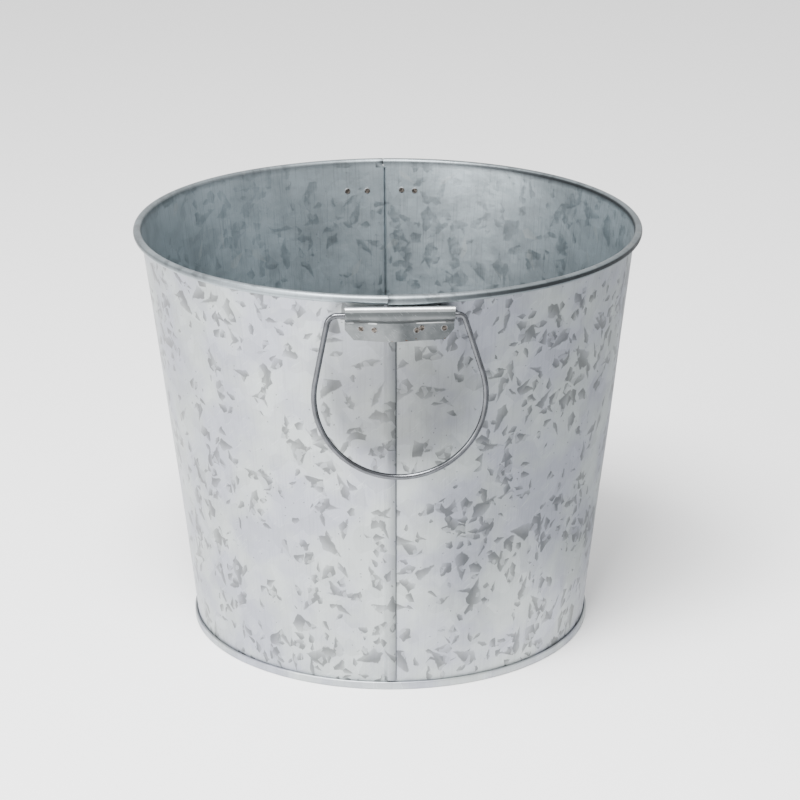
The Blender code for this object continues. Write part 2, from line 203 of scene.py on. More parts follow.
# The hanger strip's cloud, its painted shade, its painted highlight on top and its painted
# highlight along the crease.
STRIP_CLOUD, STRIP_SHADE, STRIP_HIGHLIGHT, CREASE_HIGHLIGHT = "#575A5B", "#3E4142", "#D3D7D8", "#E2E5E5"
WELD_CORE, WELD_BURNT, WELD_RIM = "#3B3734", "#6E6761", "#85888A"
RIM_START = CAD_BOX[1].z - 0.0052
WEAR_AND_SHADE_HEIGHT = 0.176             # middle of the wall that the hanging wire rubs, painted darker still as shade
TUBE_FRONT = 0.0035            # down the hanger's strip: the tube's front, where the band of painted shade is centred, then the crease
CREASE = AXIS_BELOW_LOOP + LOOP_TAIL + 0.0003
RUST_START = 0.0165            # down the strip, near its cut lower edge
BAND_START = 0.1120            # out from the axis: where the base's folded band begins


def places(scene):
    """Every derived radius, height and angle, from the pail's and hangers' sizes."""
    pail, hanger, handle = scene.bucket_pail, scene.bucket_hanger, scene.bucket_handle
    p = SimpleNamespace(sheet=pail.sheet, height=pail.height)
    p.pitch = pail.sheet + LAP_GAP
    p.proud = 3 * p.pitch
    p.foot_mid = pail.base_radius - pail.sheet / 2 - 3 * p.pitch
    p.foot_z = 2 * p.pitch + pail.sheet / 2
    p.band_top = BAND_HEIGHT - pail.sheet / 2 - p.pitch
    p.curl = pail.rim_wire / 2 + FIT_GAP + pail.sheet / 2
    p.bead = p.curl + pail.sheet / 2
    p.bead_r = pail.rim_radius - p.bead
    p.bead_z = pail.height - p.bead
    run, rise = p.bead_r - p.foot_mid, p.bead_z - WALL_START
    p.slope = math.atan2(rise, run) + math.asin(p.curl / math.hypot(run, rise))
    p.top_r = p.bead_r - p.curl * math.sin(p.slope)
    p.top_z = p.bead_z + p.curl * math.cos(p.slope)
    p.curl_start = p.slope + math.pi / 2
    p.seam_low = WALL_START + SLIT
    p.seam_high = p.bead_z - p.bead - SLIT - STEP_REACH * pail.roll_step
    p.fold_start = p.pitch + pail.sheet / 2
    p.fold_end = pail.seam_width - p.pitch - pail.sheet / 2
    p.front_seam = FRONT_SEAM_X / p.top_r
    p.back_seam = math.pi - BACK_SEAM_X / p.top_r
    p.loop_top = p.bead_z - p.bead - LOOP_BELOW_RIM
    p.axis_z = p.loop_top - AXIS_BELOW_LOOP
    p.bridge_base = FIT_GAP + hanger.sheet / 2
    p.loop_back = p.bridge_base + p.proud
    p.axis_y = wall_mid(p, p.axis_z) + p.sheet / 2 + p.loop_back
    p.axis_y += hanger.sheet / 2 + FIT_GAP + handle.wire / 2
    return p


def wall_mid(p, z):
    """Radius of the middle of the wall's sheet at a height."""
    share = np.clip((z - WALL_START) / (p.top_z - WALL_START), 0.0, 1.0)
    return p.foot_mid + share * (p.top_r - p.foot_mid)


def arc(centre, radius, start, end, steps):
    """Points along an arc, from one angle to another."""
    angles = np.linspace(start, end, steps + 1)
    return [(centre[0] + radius * math.cos(a), centre[1] + radius * math.sin(a))
            for a in angles]


def smooth(value, low, high):
    """Share of the way from low to high, eased at both ends."""
    share = np.clip((value - low) / (high - low), 0.0, 1.0)
    return share * share * (3 - 2 * share)


def swell(scene, p, angle, z):
    """How far the wall stands out of round, growing towards the rim on the left side."""
    side = smooth(-np.sin(angle), 0.30, 0.95)
    return scene.bucket_pail.out_of_round * (z / p.height) ** 2 * side


# Meshes


def sheet_mesh(name, grid, cells, thickness, place, side, painted_tones=None):
    """A bent sheet: the marked cells of a grid of mid-surface points, given a thickness.

    place holds, for each grid point, where it lies on the flat sheet: along and up, in metres.
    It becomes the attribute sheet_place. Its third number is side on the grid's first face and
    -side on the other, so that 1 is always the sheet's outside.
    """
    first = grid[1:, 1:] - grid[:-1, :-1]
    second = grid[1:, :-1] - grid[:-1, 1:]
    normal = np.cross(first, second)
    normal /= np.maximum(np.linalg.norm(normal, axis=2, keepdims=True), 1e-15)
    normal *= cells[..., None]
    total = np.zeros(grid.shape)
    count = np.zeros(grid.shape[:2])
    rows, cols = cells.shape
    for i in (0, 1):
        for j in (0, 1):
            total[i:i + rows, j:j + cols] += normal
            count[i:i + rows, j:j + cols] += cells
    used = count > 0
    size = np.maximum((total ** 2).sum(axis=2), 1e-12)
    offset = total * (count / size)[..., None] * thickness / 2
    index = np.full(used.shape, -1)
    index[used] = np.arange(used.sum())
    front = (grid + offset)[used]
    back = (grid - offset)[used]
    shift = len(front)
    a, b = index[:-1, :-1][cells], index[1:, :-1][cells]
    c, d = index[1:, 1:][cells], index[:-1, 1:][cells]
    faces = np.stack([a, b, c, d], axis=1).tolist()
    faces += (np.stack([d, c, b, a], axis=1) + shift).tolist()
    edges = set()
    for loop in zip(a.tolist(), b.tolist(), c.tolist(), d.tolist()):
        for k in range(4):
            edges.add((loop[k], loop[(k + 1) % 4]))
    faces += [[y, x, x + shift, y + shift] for x, y in sorted(edges) if (y, x) not in edges]
    mesh = bpy.data.meshes.new(name)
    mesh.from_pydata(np.vstack([front, back]).tolist(), [], faces)
    flat = np.zeros((2 * shift, 3), np.float32)
    flat[:shift, :2] = place[used]
    flat[shift:, :2] = place[used]
    flat[:shift, 2] = side
    flat[shift:, 2] = -side
    attribute = mesh.attributes.new("sheet_place", "FLOAT_VECTOR", "POINT")
    attribute.data.foreach_set("vector", flat.ravel())
    # The tones, when given, are painted shade and painted highlight, kept as an attribute of their
    # own.
    if painted_tones is not None:
        attribute = mesh.attributes.new("seam_tone", "FLOAT", "POINT")
        attribute.data.foreach_set("value", np.tile(painted_tones[used], 2).astype(np.float32))
    return mesh


def outward(mesh):
    """Turns the whole closed mesh outwards if its volume is negative, and smooths it."""
    bm = bmesh.new()
    bm.from_mesh(mesh)
    bmesh.ops.recalc_face_normals(bm, faces=bm.faces)
    if bm.calc_volume(signed=True) < 0:
        bmesh.ops.reverse_faces(bm, faces=bm.faces)
    bm.to_mesh(mesh)
    bm.free()
    mesh.shade_smooth()
    mesh.set_sharp_from_angle(angle=math.radians(40))
    return mesh


def finish_piece(name, mesh, material, body, slot, *nodes):
    """Makes the piece of a mesh, and ties it to its body and the CAD nodes it stands for. The slot
    is not used.
    """
    if not mesh.polygons:
        raise RuntimeError(f"{name} came out empty")
    mesh.materials.clear()
    mesh.materials.append(material)
    piece = bpy.data.objects.new(name, mesh)
    bpy.context.scene.collection.objects.link(piece)
    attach(piece, body)
    if nodes:
        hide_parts(*nodes)
    return piece


# Node trees


def feed(tree, node, inputs):
    """Gives a node's inputs a value or a link each, by name or in order. A node given as a value
    stands for its first output in use."""
    for key, value in inputs.items() if isinstance(inputs, dict) else enumerate(inputs):
        socket = node.inputs[key]
        if isinstance(value, bpy.types.Node):
            value = next(output for output in value.outputs if output.enabled)
        if isinstance(value, bpy.types.NodeSocket):
            tree.links.new(value, socket)
        else:
            socket.default_value = (*value, 1.0) if socket.type == "RGBA" else value


def add_node(tree, kind, inputs=(), operation=None, **settings):
    """Adds a node with its settings, and feeds its inputs."""
    node = tree.nodes.new(kind)
    if operation:
        node.operation = operation
    for key, value in settings.items():
        setattr(node, key, value)
    feed(tree, node, inputs)
    return node


def new_group(name, sockets):
    """A Geometry Nodes tree with named inputs and one geometry output."""
    tree = bpy.data.node_groups.new(name, "GeometryNodeTree")
    for label, kind in sockets:
        tree.interface.new_socket(label, in_out="INPUT", socket_type=kind)
    tree.interface.new_socket("Geometry", in_out="OUTPUT", socket_type="NodeSocketGeometry")
    return tree


def close_tree(tree, geometry, material):
    """Realizes the instances, sets the material and ends the tree."""
    real = add_node(tree, "GeometryNodeRealizeInstances", {"Geometry": geometry})
    paint = add_node(tree, "GeometryNodeSetMaterial", {"Geometry": real, "Material": material})
    add_node(tree, "NodeGroupOutput", {"Geometry": paint})


def bake(source, tree, values, name):
    """Runs a tree on a helper mesh and returns the result as a plain mesh."""
    helper = bpy.data.objects.new(name + "_helper", source)
    bpy.context.scene.collection.objects.link(helper)
    modifier = helper.modifiers.new("shape", "NODES")
    modifier.node_group = tree
    for item in tree.interface.items_tree:
        if item.in_out == "INPUT" and item.name in values:
            modifier[item.identifier] = values[item.name]
    graph = bpy.context.evaluated_depsgraph_get()
    done = helper.evaluated_get(graph)
    mesh = bpy.data.meshes.new_from_object(done, depsgraph=graph)
    mesh.name = name
    helper.modifiers.remove(modifier)
    bpy.data.objects.remove(helper)
    return mesh


def wire_tree():
    """Sweeps a round wire along the helper's edges."""
    tree = new_group("round_wire", [("Geometry", "NodeSocketGeometry"),
                                    ("Diameter", "NodeSocketFloat"),
                                    ("Facets", "NodeSocketInt"),
                                    ("Material", "NodeSocketMaterial")])
    add = partial(add_node, tree)
    given = add("NodeGroupInput")
    path = add("GeometryNodeMeshToCurve", {"Mesh": given.outputs["Geometry"]})
    radius = add(MATH, (given.outputs["Diameter"], 0.5), "MULTIPLY")
    ring = add("GeometryNodeCurvePrimitiveCircle",
               {"Resolution": given.outputs["Facets"], "Radius": radius})
    tube = add("GeometryNodeCurveToMesh",
               {"Curve": path, "Profile Curve": ring, "Fill Caps": True})
    close_tree(tree, tube, given.outputs["Material"])
    return tree


def turned_tree():
    """Turns the helper's row of section points, in order, once round the Z axis."""
    tree = new_group("turned_section", [("Geometry", "NodeSocketGeometry"),
                                        ("Facets", "NodeSocketInt"),
                                        ("Material", "NodeSocketMaterial")])
    add = partial(add_node, tree)
    given = add("NodeGroupInput")
    size = add("GeometryNodeAttributeDomainSize", {"Geometry": given.outputs["Geometry"]})
    columns = add(MATH, (given.outputs["Facets"], 1.0), "ADD")
    rise = add(MATH, (size.outputs["Point Count"], 1.0), "SUBTRACT")
    grid = add("GeometryNodeMeshGrid",
               {"Size X": 1.0, "Size Y": rise, "Vertices X": columns,
                "Vertices Y": size.outputs["Point Count"]})
    spot = add(SPLIT, (add("GeometryNodeInputPosition"),))
    half = add(MATH, (rise, 0.5), "MULTIPLY")
    row = add(MATH, (spot.outputs["Y"], half), "ADD")
    whole = add(MATH, (row,), "ROUND")
    section = add("GeometryNodeSampleIndex",
                  {"Geometry": given.outputs["Geometry"],
                   "Value": add("GeometryNodeInputPosition"), "Index": whole},
                  data_type="FLOAT_VECTOR")
    angle = add(MATH, (spot.outputs["X"], 2 * math.pi), "MULTIPLY")
    turned = add(TURN, {"Vector": section, "Angle": angle}, rotation_type="Z_AXIS")
    shaped = add("GeometryNodeSetPosition", {"Geometry": grid.outputs["Mesh"], "Position": turned})
    closed = add("GeometryNodeMergeByDistance", {"Geometry": shaped, "Distance": 0.000002})
    close_tree(tree, closed, given.outputs["Material"])
    return tree


def weld_tree():
    """Puts a crater on each point of the helper, facing along the point's attribute facing."""
    tree = new_group("spot_welds", [("Geometry", "NodeSocketGeometry"),
                                    ("Crater", "NodeSocketObject"),
                                    ("Seed", "NodeSocketInt"),
                                    ("Material", "NodeSocketMaterial")])
    add = partial(add_node, tree)
    given = add("NodeGroupInput")
    crater = add("GeometryNodeObjectInfo", {"Object": given.outputs["Crater"]})
    facing = add("GeometryNodeInputNamedAttribute", {"Name": "facing"}, data_type="FLOAT_VECTOR")
    aligned = add("FunctionNodeAlignRotationToVector", {"Vector": facing}, axis="Z")
    turn = add("FunctionNodeRandomValue", {2: 0.0, 3: 2 * math.pi, "Seed": given.outputs["Seed"]},
               data_type="FLOAT")
    spin = add("FunctionNodeAxisAngleToRotation", {"Axis": (0.0, 0.0, 1.0), "Angle": turn})
    both = add("FunctionNodeRotateRotation", {"Rotation": aligned, "Rotate By": spin},
               rotation_space="LOCAL")
    placed = add("GeometryNodeInstanceOnPoints",
                 {"Points": given.outputs["Geometry"], "Instance": crater.outputs["Geometry"],
                  "Rotation": both})
    close_tree(tree, placed, given.outputs["Material"])
    return tree


# Materials


def metal_shader(name, roughness):
    """A new metal: the node tree and its Principled shader, at the default IOR."""
    material = bpy.data.materials.new(name)
    material.use_nodes = True
    tree = material.node_tree
    shader = tree.nodes["Principled BSDF"]
    feed(tree, shader, {"Metallic": 1.0, "Roughness": roughness})
    return material, tree, shader


def flakes(tree, place, crowd, size, cover, width, offset):
    """Kite-shaped crystals with a long tail, one in some cells, darker along one edge."""
    add = partial(add_node, tree)
    step = per_metre(size)
    moved = add(VECTOR, (place, (step, step, 0.0), (offset, offset * 1.7, 0.0)), "MULTIPLY_ADD")
    cell = add(CELLS, {"Vector": moved, "Scale": 1.0}, voronoi_dimensions="2D")
    local = add(VECTOR, (moved, cell.outputs["Position"]), "SUBTRACT")
    chance = add(CHANCES, (cell.outputs["Color"],))
    angle = add(MATH, (chance.outputs[0], 2 * math.pi), "MULTIPLY")
    turned = add(TURN, {"Vector": local, "Angle": angle}, rotation_type="Z_AXIS")
    part = add(SPLIT, (turned,))
    along = add(MATH, (part.outputs[0], 0.9, 0.45), "MULTIPLY_ADD", use_clamp=True)
    head = add(MATH, (along, 2.2), "MULTIPLY")
    tail = add(MATH, (along, -0.75, 0.75), "MULTIPLY_ADD")
    belly = add(MATH, (head, tail), "MINIMUM")
    fullness = add(MATH, (chance.outputs[2], 0.9 * width, 0.45 * width), "MULTIPLY_ADD")
    reach = add(MATH, (belly, fullness), "MULTIPLY")
    apart = add(MATH, (part.outputs[1],), "ABSOLUTE")
    room = add(MATH, (reach, apart), "SUBTRACT")
    inside = add(MATH, (room, 22.0), "MULTIPLY", use_clamp=True)
    shade = add(MATH, (part.outputs[1], 1.7, 0.82), "MULTIPLY_ADD", use_clamp=True)
    limit = add(MATH, (crowd, cover), "MULTIPLY")
    chosen = add(MATH, (chance.outputs[1], limit), "LESS_THAN")
    shaded = add(MATH, (inside, shade), "MULTIPLY")
    return add(MATH, (shaded, chosen), "MULTIPLY")


def streaks(tree, place, across, along, low, high, most):
    """Fine lines of a given spacing and length in millimetres, from nothing up to a share."""
    stretched = add_node(tree, VECTOR, (place, (per_metre(across), per_metre(along), 1.0)),
                         "MULTIPLY")
    line = add_node(tree, NOISE, {"Vector": stretched, "Scale": 1.0})
    return add_node(tree, RANGE, (line, low, high, 0.0, most))


def spangled(tree, place, colours):
    """The frozen zinc's pattern on a flat place: the tinted ground, then how much of a point is
    crystal, cloud, grain and streak."""
    add = partial(add_node, tree)
    bend = add(NOISE, {"Vector": place, "Scale": per_metre(3.8), "Detail": 2.0})
    bent = add(VECTOR, (bend.outputs["Color"], (0.0021, 0.0021, 0.0), place), "MULTIPLY_ADD")
    gather = add(NOISE, {"Vector": place, "Scale": per_metre(24), "Detail": 1.0})
    crowd = add(RANGE, (gather, 0.36, 0.66, 0.15, 1.7))
    crystal = 0.0
    for values in ((18.0, 0.44, 0.50, 0.0), (12.4, 0.42, 0.54, 13.0), (7.2, 0.34, 0.62, 41.0)):
        crystal = add(MATH, (flakes(tree, bent, crowd, *values), crystal), "MAXIMUM")
    chip = add(CELLS, {"Vector": bent, "Scale": per_metre(3.0)}, voronoi_dimensions="2D")
    chip_chance = add(CHANCES, (chip.outputs["Color"],))
    kept = add(MATH, (chip_chance.outputs[1], 0.20), "GREATER_THAN")
    kept = add(MATH, (kept, 0.6, 0.4), "MULTIPLY_ADD")
    crystal = add(MATH, (crystal, kept), "MULTIPLY")
    speck = add(CELLS, {"Vector": bent, "Scale": per_metre(6.7)}, voronoi_dimensions="2D")
    speck_chance = add(CHANCES, (speck.outputs["Color"],))
    near = add(MATH, (speck, 0.058), "LESS_THAN")
    few = add(MATH, (speck_chance.outputs[0], 0.22), "LESS_THAN")
    dot = add(MATH, (near, few), "MULTIPLY")
    dot = add(MATH, (dot, 0.8), "MULTIPLY")
    crystal = add(MATH, (crystal, dot), "MAXIMUM")
    cloud = add(NOISE, {"Vector": place, "Scale": per_metre(29), "Detail": 3.0})
    cloudy = add(RANGE, (cloud, 0.40, 0.62))
    ground = add(MIX, {0: cloudy, 6: colours.zinc, 7: colours.zinc_cloud}, data_type="RGBA")
    # Drawing and rolling lines are a few hundredths of a millimetre apart, too fine to show, so
    # both kinds are drawn about 1 mm apart.
    faint = streaks(tree, place, 1.1, 22, 0.52, 0.80, 0.16)
    ground = add(MIX, {0: faint, 6: ground, 7: colours.flake}, data_type="RGBA")
    slanted = add(TURN, {"Vector": bent, "Angle": 0.9}, rotation_type="Z_AXIS")
    scratch = streaks(tree, slanted, 0.67, 14, 0.64, 0.72, 0.26)
    ground = add(MIX, {0: scratch, 6: ground, 7: linear(BARE_ZINC_AND_HIGHLIGHT)}, data_type="RGBA")
    grain = add(CELLS, {"Vector": bent, "Scale": per_metre(8.7)}, voronoi_dimensions="2D")
    grain_chance = add(CHANCES, (grain.outputs["Color"],))
    grainy = add(MATH, (grain_chance.outputs[0], 0.16), "MULTIPLY")
    ground = add(MIX, {0: grainy, 6: ground, 7: colours.flake}, data_type="RGBA")
    return ground, crystal, cloudy, grain_chance.outputs[1], faint


def dulled(tree, place, colours, crystal, cloudy, grain, faint):
    """The pattern where the zinc is dull and dark, as on the inside: small dark flakes, a few
    bright ones, and lines down the sheet."""
    pale = flakes(tree, place, 1.0, 14.0, 0.15, 0.42, 77.0)
    dull = colours.inside
    for part, share, tone in ((cloudy, 0.26, colours.flake), (grain, 0.13, colours.flake),
                              (faint, 1.6, colours.flake), (crystal, 0.22, colours.flake),
                              (pale, 0.42, colours.zinc)):
        amount = add_node(tree, MATH, (part, share), "MULTIPLY")
        dull = add_node(tree, MIX, {0: amount, 6: dull, 7: tone}, data_type="RGBA")
    return dull


def zinc_sheet(colours):
    """Hot-dip zinc on sheet: crystals freeze in the melt, so a pale smooth ground holds slow
    clouds and dark kite-shaped flakes 2 to 10 mm long. The inside is duller and darker."""
    material, tree, shader = metal_shader("hot_dip_zinc_sheet", 0.46)
    add = partial(add_node, tree)
    place = add(ATTRIBUTE, attribute_name="sheet_place").outputs["Vector"]
    parts = add(SPLIT, (place,))
    ground, crystal, cloudy, grain, faint = spangled(tree, place, colours)
    shown = add(MATH, (crystal, 0.74), "MULTIPLY")
    outside = add(MIX, {0: shown, 6: ground, 7: colours.flake}, data_type="RGBA")
    # The hanging wire swings over a patch of wall and rubs it dull; the patch is also painted
    # darker as shade under the handle.
    where = add("ShaderNodeTexCoord").outputs["Object"]
    flat = add(VECTOR, (where, (1.0, 0.0, 1.0)), "MULTIPLY")
    away = add(VECTOR, (flat, (0.0, 0.0, WEAR_AND_SHADE_HEIGHT)), "DISTANCE")
    wear_and_shade = add(RANGE, (away, 0.022, 0.054, 0.56, 0.0))
    outside = add(MIX, {0: wear_and_shade, 6: outside, 7: colours.flake}, data_type="RGBA")
    # Painted shade and painted highlight beside the seams, and painted shade on the rim roll.
    tone = add(ATTRIBUTE, attribute_name="seam_tone").outputs["Fac"]
    dull = dulled(tree, place, colours, crystal, cloudy, grain, faint)
    side = add(RANGE, (parts.outputs[2], -0.2, 0.2))
    both = add(MIX, {0: side, 6: dull, 7: outside}, data_type="RGBA")
    # The sheet curls outwards, so the rim roll's skin is the inner face, and takes the painted
    # shade too.
    height = add(SPLIT, (where,)).outputs[2]
    rim = add(RANGE, (height, RIM_START, RIM_START + 0.0003))
    toned = add(MATH, (side, rim), "MAXIMUM")
    # Painted shade in the seams' slits, on the bands beside them and on the rim roll, then a
    # painted highlight on the sheet's edge before a seam.
    shade_share = add(MATH, (tone, 0.9), "MULTIPLY", use_clamp=True)
    shade_share = add(MATH, (shade_share, toned), "MULTIPLY")
    both = add(MIX, {0: shade_share, 6: both, 7: linear(PAINTED_SHADE)}, data_type="RGBA")
    highlight_share = add(MATH, (tone, -1.0), "MULTIPLY", use_clamp=True)
    highlight_share = add(MATH, (highlight_share, side), "MULTIPLY")
    both = add(MIX, {0: highlight_share, 6: both, 7: linear(BARE_ZINC_AND_HIGHLIGHT)}, data_type="RGBA")
    rough = add(RANGE, (crystal, 0.0, 1.0, 0.46, 0.38))
    dents = add(NOISE, {"Vector": place, "Scale": per_metre(10.5), "Detail": 3.0})
    bump = add(BUMP, {"Height": dents, "Strength": 0.35, "Distance": 0.0009})
    feed(tree, shader, {"Base Color": both, "Roughness": rough, "Normal": bump})
    return material


def zinc_base(colours):
    """Hot-dip zinc on the pressed pan: the wall's crystals, duller, with a slightly uneven face
    where the press stretched it."""
    material, tree, shader = metal_shader("hot_dip_zinc_base", 0.50)
    add = partial(add_node, tree)
    place = add("ShaderNodeTexCoord").outputs["Object"]
    ground, crystal, cloudy, grain, faint = spangled(tree, place, colours)
    dull = dulled(tree, place, colours, crystal, cloudy, grain, faint)
    flat = add(VECTOR, (place, (1.0, 1.0, 0.0)), "MULTIPLY")
    across = add(VECTOR, (flat,), "LENGTH")
    band = add(RANGE, (across, BAND_START, BAND_START + 0.0006))
    both = add(MIX, {0: band, 6: dull, 7: ground}, data_type="RGBA")
    dents = add(NOISE, {"Vector": place, "Scale": per_metre(17), "Detail": 3.0})
    bump = add(BUMP, {"Height": dents, "Strength": 0.4, "Distance": 0.0012})
    feed(tree, shader, {"Base Color": both, "Normal": bump})
    return material


def zinc_hanger(colours):
    """Zinc on the folded strips: a painted highlight on top and along the crease, painted shade at
    the tube's front, fine diagonal scratches, and rust specks where the lower edge's cut steel
    shows."""
    material, tree, shader = metal_shader("rubbed_zinc_strip", 0.32)
    add = partial(add_node, tree)
    place = add(ATTRIBUTE, attribute_name="sheet_place").outputs["Vector"]
    down = add(SPLIT, (place,)).outputs[1]
    cloud = add(NOISE, {"Vector": place, "Scale": per_metre(8.3), "Detail": 4.0})
    cloudy = add(RANGE, (cloud, 0.38, 0.64))
    ground = add(MIX, {0: cloudy, 6: colours.hanger, 7: linear(STRIP_CLOUD)}, data_type="RGBA")
    # Down the strip: a painted highlight on top, a band of painted shade at the front of the tube,
    # then mid grey as far as the crease.
    from_front = add(MATH, (down, TUBE_FRONT), "SUBTRACT")
    from_front = add(MATH, (from_front,), "ABSOLUTE")
    band = add(RANGE, (from_front, 0.0007, 0.0020, 0.74, 0.14))
    tube = add(RANGE, (down, CREASE - 0.0010, CREASE - 0.0002, 1.0, 0.0))
    shaded = add(MATH, (band, tube), "MULTIPLY")
    ground = add(MIX, {0: shaded, 6: ground, 7: linear(STRIP_SHADE)}, data_type="RGBA")
    # The painted highlight on top, broken up by the cloud.
    highlight_cloud = add(RANGE, (cloud, 0.30, 0.60, 1.0, 0.72))
    top = add(RANGE, (down, 0.0014, 0.0026, 0.95, 0.0))
    top = add(MATH, (top, highlight_cloud), "MULTIPLY")
    ground = add(MIX, {0: top, 6: ground, 7: linear(STRIP_HIGHLIGHT)}, data_type="RGBA")
    # A painted highlight in broken runs along the crease.
    run = add(VECTOR, (place, (per_metre(11.8), 0.0, 0.0)), "MULTIPLY")
    patch = add(NOISE, {"Vector": run, "Scale": 1.0, "Detail": 1.0})
    lit = add(MATH, (patch, 0.50), "GREATER_THAN")
    off = add(MATH, (down, CREASE), "SUBTRACT")
    off = add(MATH, (off,), "ABSOLUTE")
    edge = add(RANGE, (off, 0.0001, 0.0004, 0.85, 0.0))
    edge = add(MATH, (edge, lit), "MULTIPLY")
    ground = add(MIX, {0: edge, 6: ground, 7: linear(CREASE_HIGHLIGHT)}, data_type="RGBA")
    slanted = add(TURN, {"Vector": place, "Angle": 0.75}, rotation_type="Z_AXIS")
    # Scratches a hundredth of a millimetre wide are drawn 0.24 mm apart, so that they show.
    scratch = streaks(tree, slanted, 0.24, 6.3, 0.66, 0.72, 0.55)
    ground = add(MIX, {0: scratch, 6: ground, 7: colours.zinc}, data_type="RGBA")
    speck = add(NOISE, {"Vector": place, "Scale": per_metre(1.9), "Detail": 2.0})
    spot = add(RANGE, (speck, 0.66, 0.70))
    low = add(RANGE, (down, RUST_START, RUST_START + 0.0030, 0.0, 0.9))
    rusty = add(MATH, (spot, low), "MULTIPLY")
    ground = add(MIX, {0: rusty, 6: ground, 7: colours.rust}, data_type="RGBA")
    bump = add(BUMP, {"Height": cloud, "Strength": 0.3, "Distance": 0.0003})
    feed(tree, shader, {"Base Color": ground, "Normal": bump})
    return material


def zinc_wire(colours):
    """Drawn wire dipped in zinc: smooth and rather bright, with faint thicker patches."""
    material, tree, shader = metal_shader("dipped_zinc_wire", 0.22)
    add = partial(add_node, tree)
    place = add("ShaderNodeTexCoord").outputs["Object"]
    cloud = add(NOISE, {"Vector": place, "Scale": per_metre(5.6), "Detail": 3.0})
    patchy = add(MATH, (cloud, 0.34), "MULTIPLY")
    tone = add(MIX, {0: patchy, 6: colours.wire, 7: colours.zinc_cloud}, data_type="RGBA")
    bump = add(BUMP, {"Height": cloud, "Strength": 0.25, "Distance": 0.0003})
    feed(tree, shader, {"Base Color": tone, "Normal": bump})
    return material


def weld_burn(colours):
    """A spot weld: the electrode burns the zinc off, so the middle is brownish grey, with a
    paler ring of pushed-out zinc round it."""
    material, tree, shader = metal_shader("spot_weld_burn", 0.50)
    add = partial(add_node, tree)
    ring = add(ATTRIBUTE, attribute_name="crater_radius").outputs["Fac"]
    place = add("ShaderNodeTexCoord").outputs["Object"]
    blotch = add(NOISE, {"Vector": place, "Scale": per_metre(1.1), "Detail": 2.0})
    uneven = add(MATH, (blotch, 0.36, -0.18), "MULTIPLY_ADD")
    reach = add(MATH, (ring, uneven), "ADD")
    share = add(RANGE, (reach, 0.70, 0.92))
    burnt = add(RANGE, (blotch, 0.42, 0.60))
    core = add(MIX, {0: burnt, 6: linear(WELD_CORE), 7: linear(WELD_BURNT)}, data_type="RGBA")
    edge = add(RANGE, (ring, 0.88, 1.0))
    halo = add(MIX, {0: edge, 6: linear(WELD_RIM), 7: colours.hanger}, data_type="RGBA")
    mark = add(MIX, {0: share, 6: core, 7: halo}, data_type="RGBA")
    feed(tree, shader, {"Base Color": mark})
    return material


def finishes(scene):
    """The object's finishes, made once."""
    makers = {"hot_dip_zinc_sheet": zinc_sheet, "hot_dip_zinc_base": zinc_base,
              "rubbed_zinc_strip": zinc_hanger, "dipped_zinc_wire": zinc_wire,
              "spot_weld_burn": weld_burn}
    return {name: bpy.data.materials.get(name) or make(scene.bucket_colours)
            for name, make in makers.items()}


# The pail's wall


def wall_section(p):
    """Section of a half sheet, from the bottom hook up the wall and round the rim roll.

    Returns points, the rows at the ends of the lock seam's folds, and the roll's first row."""
    rows = [(p.foot_mid + 2 * p.pitch, p.band_top)]
    rows += arc((p.foot_mid + p.pitch, p.foot_z), p.pitch, 0.0, -math.pi, 8)
    rows += [(p.foot_mid, z) for z in np.linspace(p.foot_z, WALL_START - SLIT, 4)[1:]]
    rows.append((float(wall_mid(p, p.seam_low - SLIT)), p.seam_low - SLIT))
    low = len(rows)
    rows += [(float(wall_mid(p, z)), z) for z in np.linspace(p.seam_low, p.seam_high, 64)]
    high = len(rows) - 1
    rows.append((float(wall_mid(p, p.seam_high + SLIT)), p.seam_high + SLIT))
    roll = len(rows)
    rows += arc((p.bead_r, p.bead_z), p.curl, p.curl_start, p.curl_start - CURL_SWEEP, 30)
    return np.array(rows), low, high, roll


def half_columns(p, seam, next_seam, facets, seam_width, radius, turned):
    """Columns of a half sheet at one height: angle and height off the wall."""
    band = seam - seam_width / 2 / radius
    next_band = next_seam - seam_width / 2 / radius
    inner = [(p.fold_end, 2 * p.pitch)]
    inner += arc((p.fold_start, p.pitch), p.pitch, math.pi / 2, 1.5 * math.pi, 8)
    outer = [(p.fold_start - p.sheet / 2 - 2 * LAP_GAP, p.proud)]
    outer += arc((p.fold_end, 2 * p.pitch), p.pitch, math.pi / 2, -math.pi / 2, 8)
    outer.append((p.fold_start, p.pitch))
    start = seam + seam_width / 2 / radius
    end = next_seam - (seam_width / 2 + JOGGLE) / radius
    main = np.linspace(start, end, 2 * facets + 1)
    main = np.concatenate([[start], start + np.array(SEAM_STOPS) / radius, main[1:]])
    butt = next_band + (p.fold_start - FIT_GAP) / radius
    angles = [band + a / radius for a, _ in inner] + list(main)
    heights = [h if turned else 0.0 for _, h in inner] + [0.0] * len(main)
    angles += [next_band + a / radius if turned else butt for a, _ in outer]
    heights += [h if turned else 0.0 for _, h in outer]
    return np.array(angles), np.array(heights), len(inner), len(main)


HIGHLIGHT_EDGE = 0.0014             # width of the painted highlight on the sheet's edge before a seam


def seam_tone(pail, past, across, inner, main, folded):
    """Painted shade and painted highlight for each column beside the seams: the slit and the band
    it bounds get painted shade, and the sheet's edge before the next seam a painted highlight.
    Below 0 is painted highlight."""
    column = np.arange(len(past))
    fold = column - inner - main
    tone = np.where(column >= inner, 1 - smooth(past, 0.0, 0.0006), 1.0 if folded else 0.0)
    if folded:
        band = 0.16 + 0.46 * (1 - smooth(pail.seam_width - across, 0.0003, 0.0024))
        tone = np.where(fold >= 0, np.where(fold >= 5, 1.0, band), tone)
    return np.where((fold < 0) & (across > -HIGHLIGHT_EDGE), tone - 0.38, tone)


